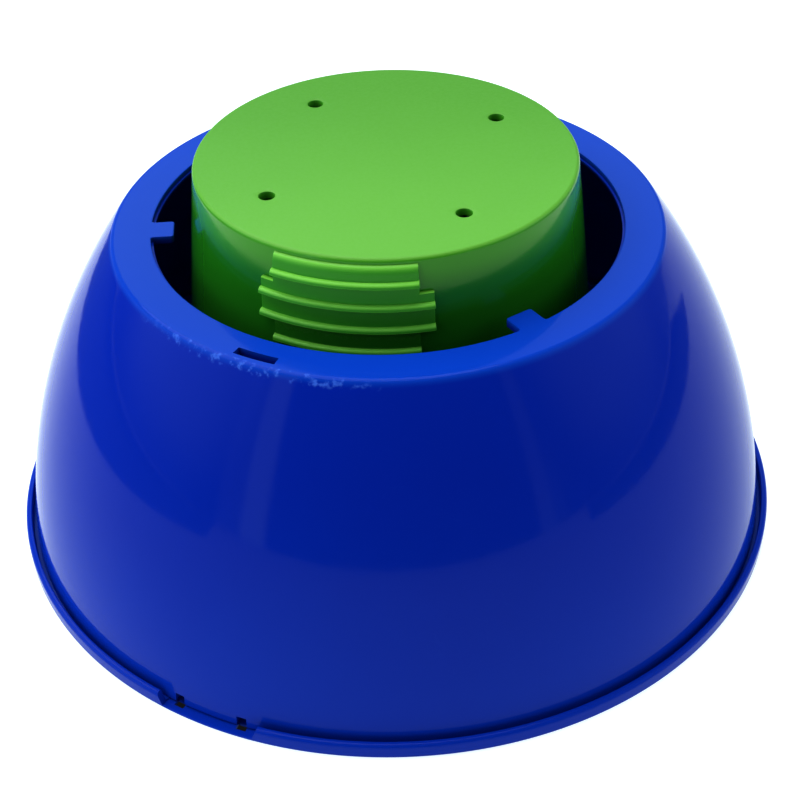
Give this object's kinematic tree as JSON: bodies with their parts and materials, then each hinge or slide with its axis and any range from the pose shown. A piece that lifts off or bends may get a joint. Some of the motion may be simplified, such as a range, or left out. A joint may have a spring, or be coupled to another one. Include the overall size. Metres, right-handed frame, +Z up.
{
  "type": "pheromone insect trap",
  "caption": "Dome-shaped pheromone insect trap: blue dome on a catch tray, with a green vented lure cup standing in its mouth and a ring gap around the cup for insects to drop through.",
  "frame": {"origin": "on the dome's axis, at the underside of the tray", "axes": "+Z up along the dome's axis, -Y towards the side that the picture shows, +X to the right of that view"},
  "size_m": [0.24, 0.24, 0.1186],
  "materials": {
    "blue_plastic": "glossy moulded polypropylene, lightly scuffed on the rim",
    "green_plastic": "glossy moulded side, satin top",
    "white_plastic": "natural moulded plastic",
    "pin_steel": "drawn wire",
    "septum_rubber": "matt moulded rubber"
  },
  "bodies": {
    "base": {"base_tray": "blue_plastic", "centre_column": "blue_plastic", "lure_basket": "white_plastic"},
    "dome": {"dome_shell": "blue_plastic"},
    "cup": {"lure_cup": "green_plastic"},
    "lure": {"basket_cap": "white_plastic", "septum_pin": "pin_steel", "lure_septum": "septum_rubber"}
  },
  "joints": [
    {"name": "dome_lift", "type": "slide", "parent": "base", "child": "dome", "axis": [0, 0, 1], "range_m": [0, 0.12]},
    {"name": "cup_lift", "type": "slide", "parent": "base", "child": "cup", "axis": [0, 0, 1], "range_m": [0, 0.08]},
    {"name": "cap_lift", "type": "slide", "parent": "base", "child": "lure", "axis": [0, 0, 1], "range_m": [0, 0.018]}
  ]
}
